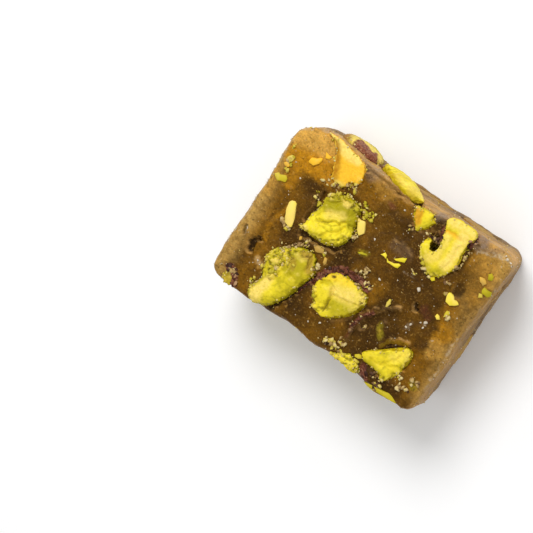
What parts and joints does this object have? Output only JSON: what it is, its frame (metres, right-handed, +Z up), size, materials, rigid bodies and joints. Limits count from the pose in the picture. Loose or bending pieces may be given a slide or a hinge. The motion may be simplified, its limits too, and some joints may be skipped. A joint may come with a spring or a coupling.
{
  "type": "turkish delight",
  "caption": "Cut block of pistachio Turkish delight: a soft amber-brown gel with whole and sliced green pistachio kernels showing in its faces.",
  "frame": {"origin": "middle of the lower face, on the surface that the piece rests on", "axes": "+X along the long edge, +Y along the short edge, +Z up through the thickness, out of the cut face that shows most"},
  "size_m": [0.0489, 0.0368, 0.0213],
  "materials": {
    "gel": "satin",
    "pistachio_green": "matte",
    "pistachio_yellow": "matte",
    "pistachio_golden": "matte"
  },
  "bodies": {
    "root": {"gel_block": "gel", "pistachio_top_golden": "pistachio_golden", "pistachio_top_chunk": "pistachio_golden", "pistachio_top_curled": "pistachio_yellow", "pistachio_top_rough": "pistachio_green", "pistachio_top_log": "pistachio_green", "pistachio_top_halved": "pistachio_yellow", "pistachio_top_wedge": "pistachio_yellow", "pistachio_top_corner": "pistachio_green", "pistachio_top_crumbly": "pistachio_green", "pistachio_front_long": "pistachio_green", "pistachio_back_skinned": "pistachio_green", "pistachio_back_slice": "pistachio_yellow", "pistachio_front_round": "pistachio_yellow", "pistachio_front_almond": "pistachio_green", "pistachio_front_bean": "pistachio_green", "pistachio_front_small": "pistachio_green", "pistachio_front_cracked": "pistachio_yellow", "pistachio_back_cut": "pistachio_yellow", "pistachio_back_lower": "pistachio_green", "pistachio_left_bean": "pistachio_green", "pistachio_left_small": "pistachio_yellow", "pistachio_right_halved": "pistachio_yellow", "pistachio_right_small": "pistachio_green", "pistachio_under_round": "pistachio_yellow", "pistachio_under_long": "pistachio_green", "pistachio_under_bean": "pistachio_green", "pistachio_under_halved": "pistachio_yellow", "pistachio_under_small": "pistachio_green", "pistachio_under_cut": "pistachio_yellow"}
  },
  "joints": []
}
